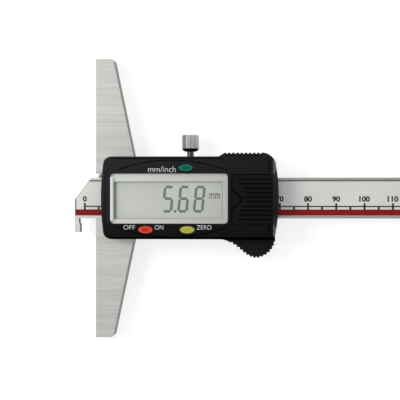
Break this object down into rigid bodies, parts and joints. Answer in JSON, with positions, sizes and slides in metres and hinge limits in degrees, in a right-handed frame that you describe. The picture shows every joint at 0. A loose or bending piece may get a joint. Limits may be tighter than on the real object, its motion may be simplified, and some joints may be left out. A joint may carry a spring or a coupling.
{
  "type": "digital hook depth gauge",
  "caption": "Digital depth gauge: T-shaped measuring base, sliding hooked beam with a printed scale, black display housing with buttons, lock screw and battery door.",
  "frame": {"origin": "on the back rest plane, where the measuring face's plane crosses the beam's centre line", "axes": "+X along the beam away from the measured surface, +Y across it towards the lock screw, +Z out of the back towards the reader"},
  "size_m": [0.2218, 0.1, 0.0176],
  "materials": {
    "satin_steel": "fine ground stainless steel",
    "screw_steel": "turned steel",
    "gib_brass": "rolled brass",
    "knob_chrome": "bright plated, knurled",
    "black_plastic": "fine-textured moulding",
    "clear_window": "polished clear acrylic",
    "pale_mask": "pale grey print",
    "display_glass": "grey-green liquid crystal glass",
    "circuit_board": "green solder mask",
    "scale_film": "satin printed film",
    "chip_resin": "black resin",
    "can_metal": "bright pressed metal",
    "capacitor_ceramic": "fired ceramic",
    "connector_rubber": "layered silicone",
    "plate_aluminium": "satin foil",
    "cell_steel": "nickel-plated can",
    "contact_steel": "plated spring strip",
    "green_button": "glossy moulding",
    "red_button": "glossy moulding",
    "yellow_button": "glossy moulding"
  },
  "bodies": {
    "slider": {"base_slider": "satin_steel", "gib_strip": "gib_brass", "gib_screws": "screw_steel", "guide_plate_left": "satin_steel", "guide_plate_right": "satin_steel", "guide_plate_screws": "screw_steel", "sensor_board": "circuit_board", "board_screws": "screw_steel", "controller_chip": "chip_resin", "crystal_can": "can_metal", "board_capacitors": "capacitor_ceramic", "key_domes": "can_metal", "zebra_strips": "connector_rubber", "lcd_glass": "display_glass", "lcd_holder": "black_plastic", "display_frame": "pale_mask", "window_lens": "clear_window", "front_cover": "black_plastic", "cover_screws": "screw_steel", "rear_label": "plate_aluminium", "battery_cell": "cell_steel", "battery_contact_positive": "contact_steel", "battery_contact_negative": "contact_steel"},
    "beam": {"beam": "satin_steel", "scale_strip": "circuit_board", "scale_label": "scale_film", "end_stop": "satin_steel", "end_stop_screws": "screw_steel"},
    "lock_screw_stud": {"lock_screw_stud": "screw_steel"},
    "lock_screw_head": {"lock_screw_head": "knob_chrome"},
    "button_unit": {"button_unit": "green_button"},
    "button_on_off": {"button_on_off": "red_button"},
    "button_zero": {"button_zero": "yellow_button"},
    "battery_door": {"battery_door": "black_plastic"}
  },
  "joints": [
    {"name": "beam_slide", "type": "slide", "parent": "slider", "child": "beam", "axis": [-1, 0, 0], "range_m": [-0.00567, 0.1458]},
    {"name": "lock_screw_advance", "type": "slide", "parent": "slider", "child": "lock_screw_stud", "axis": [0, -1, 0], "range_m": [-0.00099, 0.00012]},
    {"name": "lock_screw_turn", "type": "hinge", "parent": "lock_screw_stud", "child": "lock_screw_head", "pos_m": [0.03395, 0.0195, 0.0063], "axis": [0, -1, 0], "range_deg": [-720, 86]},
    {"name": "button_unit_press", "type": "slide", "parent": "slider", "child": "button_unit", "axis": [0, 0, -1], "range_m": [0, 0.00035], "stiffness_N_per_m": 2000},
    {"name": "button_on_off_press", "type": "slide", "parent": "slider", "child": "button_on_off", "axis": [0, 0, -1], "range_m": [0, 0.00035], "stiffness_N_per_m": 2000},
    {"name": "button_zero_press", "type": "slide", "parent": "slider", "child": "button_zero", "axis": [0, 0, -1], "range_m": [0, 0.00035], "stiffness_N_per_m": 2000},
    {"name": "battery_door_slide", "type": "slide", "parent": "slider", "child": "battery_door", "axis": [1, 0, 0], "range_m": [0, 0.02]}
  ],
  "couplings": [
    {"joint": "lock_screw_turn", "follows": "lock_screw_advance", "rad_per_m": 12566}
  ]
}
